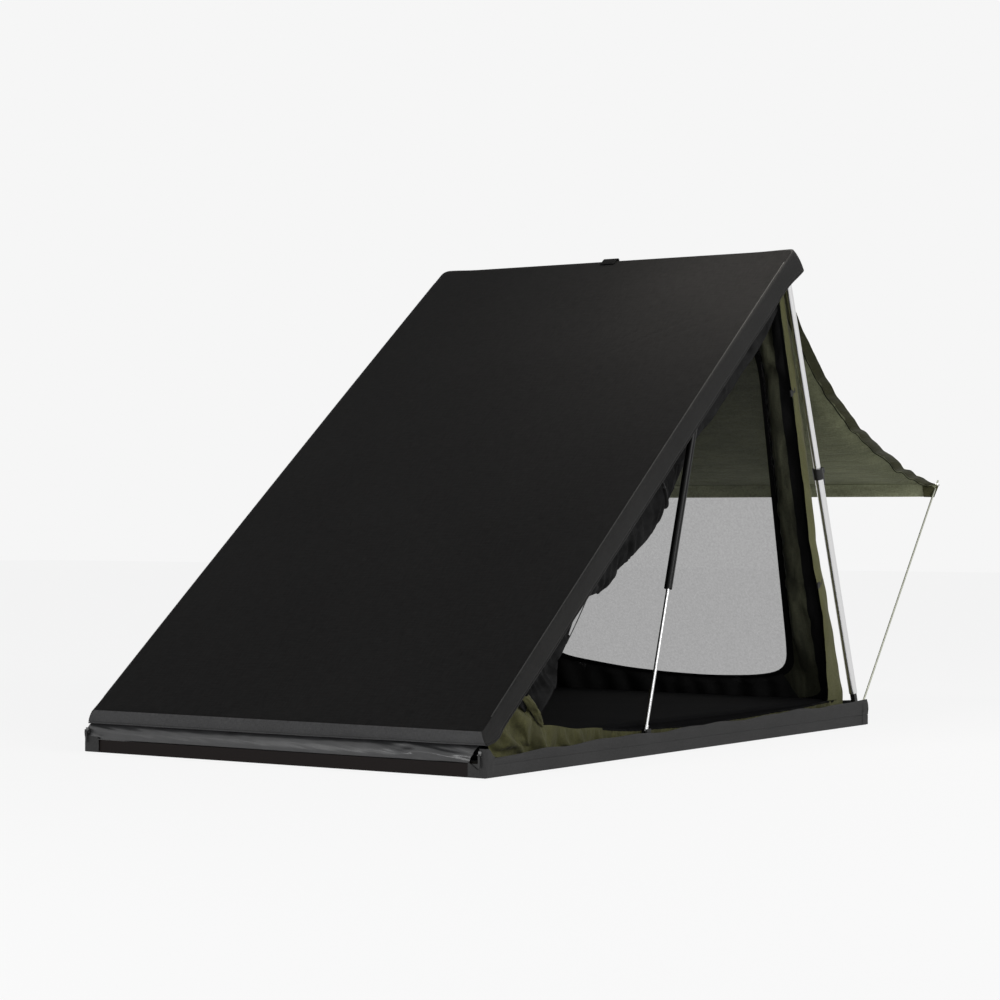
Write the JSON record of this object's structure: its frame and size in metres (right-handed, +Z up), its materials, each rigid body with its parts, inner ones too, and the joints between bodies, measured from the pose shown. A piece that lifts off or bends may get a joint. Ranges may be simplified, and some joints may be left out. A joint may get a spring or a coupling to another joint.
{
  "type": "roof top tent",
  "caption": "Wedge roof top tent: covered lid hinged at the front on gas struts, telescopic rear poles, mesh rear door, open side door and awning on rods.",
  "frame": {"origin": "middle of the underside of the base, on the plane of the roof bar bolt holes", "axes": "+X to the right seen from the hinge end, +Y along the length away from the hinge, +Z up"},
  "size_m": [1.268, 2.7268, 1.4261],
  "materials": {
    "floor": "satin",
    "mattress": "matte",
    "coated": "satin",
    "cover": "matte",
    "piping": "matte",
    "panel": "matte",
    "door": "matte",
    "olive": "matte",
    "dark_olive": "matte",
    "mesh": "matte",
    "webbing": "matte",
    "steel": "satin",
    "black_rail": "satin",
    "grey_rail": "satin",
    "skirt": "matte",
    "aluminium": "satin",
    "lid_bar": "satin",
    "chrome": "polished",
    "black_gloss": "gloss",
    "rod": "satin",
    "black_steel": "satin",
    "black_plastic": "matte"
  },
  "bodies": {
    "base": {"floor_panel": "floor", "rail_front": "black_rail", "rail_rear": "grey_rail", "rail_left": "grey_rail", "rail_right": "grey_rail", "corner_blocks": "black_plastic", "mount_rail_left": "aluminium", "mount_rail_right": "aluminium", "mount_rivets": "steel", "hinge_brackets": "black_steel", "hinge_pins": "steel", "strut_studs_base": "black_steel", "pole_foot_left": "black_plastic", "pole_foot_right": "black_plastic", "mattress": "mattress", "skirt_left": "skirt", "skirt_right": "skirt", "skirt_rear": "skirt", "front_strip": "coated", "corner_patches": "skirt", "zip_slider_left": "black_plastic", "zip_slider_right": "black_plastic", "wall_left": "olive", "wall_right": "olive", "wall_rear": "dark_olive", "mesh_rear": "mesh", "wall_clips": "black_plastic"},
    "lid": {"lid_panel": "panel", "lid_bar_front": "lid_bar", "lid_bar_rear": "lid_bar", "lid_bar_left": "lid_bar", "lid_bar_right": "lid_bar", "lid_cover": "cover", "lid_piping": "piping", "hinge_leaves": "black_steel", "strut_studs_lid": "black_steel", "pole_hooks": "black_steel", "pull_strap": "webbing", "door_roll": "door", "door_toggles": "black_plastic"},
    "awning": {"awning": "olive", "awning_grommets": "steel"},
    "strut_rod_left": {"strut_rod_left": "chrome"},
    "strut_cylinder_left": {"strut_cylinder_left": "black_gloss"},
    "pole_lower_left": {"pole_lower_left": "aluminium", "pole_collar_left": "black_plastic"},
    "pole_lever_left": {"pole_lever_left": "black_plastic"},
    "pole_upper_left": {"pole_upper_left": "aluminium"},
    "awning_rod_left": {"awning_rod_left": "rod"},
    "zip_pull_left": {"zip_pull_left": "black_plastic"},
    "strut_rod_right": {"strut_rod_right": "chrome"},
    "strut_cylinder_right": {"strut_cylinder_right": "black_gloss"},
    "pole_lower_right": {"pole_lower_right": "aluminium", "pole_collar_right": "black_plastic"},
    "pole_lever_right": {"pole_lever_right": "black_plastic"},
    "pole_upper_right": {"pole_upper_right": "aluminium"},
    "awning_rod_right": {"awning_rod_right": "rod"},
    "zip_pull_right": {"zip_pull_right": "black_plastic"}
  },
  "joints": [
    {"name": "lid_fold", "type": "hinge", "parent": "base", "child": "lid", "pos_m": [0, -1.003, 0.058], "axis": [1, 0, 0], "range_deg": [-38.74, 0], "stiffness_Nm_per_rad": 120, "springref_deg": 148.97, "deforming": ["wall_left", "wall_right", "wall_rear", "mesh_rear", "wall_clips", "front_strip", "door_roll", "door_toggles", "awning", "awning_grommets", "awning_rod_left", "awning_rod_right", "pole_lower_left", "pole_lower_right", "pole_collar_left", "pole_collar_right", "pole_lever_left", "pole_lever_right", "pole_upper_left", "pole_upper_right"]},
    {"name": "awning_fold", "type": "hinge", "parent": "lid", "child": "awning", "pos_m": [0, 0.59817, 1.34134], "axis": [1, 0, 0], "range_deg": [-112.5, 0]},
    {"name": "strut_left_swing", "type": "hinge", "parent": "base", "child": "strut_rod_left", "pos_m": [-0.582, -0.2121, 0.05], "axis": [1, 0, 0], "range_deg": [-71.42, 0]},
    {"name": "strut_left_slide", "type": "slide", "parent": "strut_rod_left", "child": "strut_cylinder_left", "axis": [0, 0.3009, 0.9537], "range_m": [-0.33176, 0]},
    {"name": "pole_left_fold", "type": "hinge", "parent": "base", "child": "pole_lower_left", "pos_m": [-0.601, 1.035, 0.05], "axis": [0.9998, 0.0221, 0], "range_deg": [0, 70.63]},
    {"name": "pole_left_slide", "type": "slide", "parent": "pole_lower_left", "child": "pole_upper_left", "axis": [0.0073, -0.3317, 0.9434], "range_m": [-0.56, 0]},
    {"name": "pole_left_lever", "type": "hinge", "parent": "pole_lower_left", "child": "pole_lever_left", "pos_m": [-0.59595, 0.80624, 0.7688], "axis": [0.9998, 0.0221, 0], "range_deg": [0, 110]},
    {"name": "awning_rod_left_fold", "type": "hinge", "parent": "awning", "child": "awning_rod_left", "pos_m": [-0.5965, 1.65067, 0.74034], "axis": [-0.9641, -0.1738, 0.2008], "range_deg": [0, 78.35]},
    {"name": "zip_pull_left_swing", "type": "hinge", "parent": "base", "child": "zip_pull_left", "pos_m": [-0.62, -1.0578, 0.055], "axis": [1, 0, 0], "range_deg": [-100, 0]},
    {"name": "strut_right_swing", "type": "hinge", "parent": "base", "child": "strut_rod_right", "pos_m": [0.582, -0.2121, 0.05], "axis": [1, 0, 0], "range_deg": [-71.42, 0]},
    {"name": "strut_right_slide", "type": "slide", "parent": "strut_rod_right", "child": "strut_cylinder_right", "axis": [0, 0.3009, 0.9537], "range_m": [-0.33176, 0]},
    {"name": "pole_right_fold", "type": "hinge", "parent": "base", "child": "pole_lower_right", "pos_m": [0.601, 1.035, 0.05], "axis": [0.9998, -0.0221, 0], "range_deg": [0, 70.63]},
    {"name": "pole_right_slide", "type": "slide", "parent": "pole_lower_right", "child": "pole_upper_right", "axis": [-0.0073, -0.3317, 0.9434], "range_m": [-0.56, 0]},
    {"name": "pole_right_lever", "type": "hinge", "parent": "pole_lower_right", "child": "pole_lever_right", "pos_m": [0.59595, 0.80624, 0.7688], "axis": [0.9998, -0.0221, 0], "range_deg": [0, 110]},
    {"name": "awning_rod_right_fold", "type": "hinge", "parent": "awning", "child": "awning_rod_right", "pos_m": [0.5965, 1.65067, 0.74034], "axis": [-0.9641, 0.1738, -0.2008], "range_deg": [0, 78.35]},
    {"name": "zip_pull_right_swing", "type": "hinge", "parent": "base", "child": "zip_pull_right", "pos_m": [0.62, -1.0578, 0.055], "axis": [1, 0, 0], "range_deg": [-100, 0]}
  ],
  "couplings": [
    {"joint": "awning_fold", "follows": "lid_fold", "ratio": 2.904},
    {"joint": "strut_left_swing", "follows": "lid_fold", "ratio": 1.8437},
    {"joint": "strut_left_slide", "follows": "lid_fold", "m_per_rad": 0.49066},
    {"joint": "pole_left_fold", "follows": "lid_fold", "ratio": -1.8231},
    {"joint": "pole_left_slide", "follows": "lid_fold", "m_per_rad": 0.82823},
    {"joint": "awning_rod_left_fold", "follows": "lid_fold", "ratio": -2.0225},
    {"joint": "strut_right_swing", "follows": "lid_fold", "ratio": 1.8437},
    {"joint": "strut_right_slide", "follows": "lid_fold", "m_per_rad": 0.49066},
    {"joint": "pole_right_fold", "follows": "lid_fold", "ratio": -1.8231},
    {"joint": "pole_right_slide", "follows": "lid_fold", "m_per_rad": 0.82823},
    {"joint": "awning_rod_right_fold", "follows": "lid_fold", "ratio": -2.0225}
  ]
}
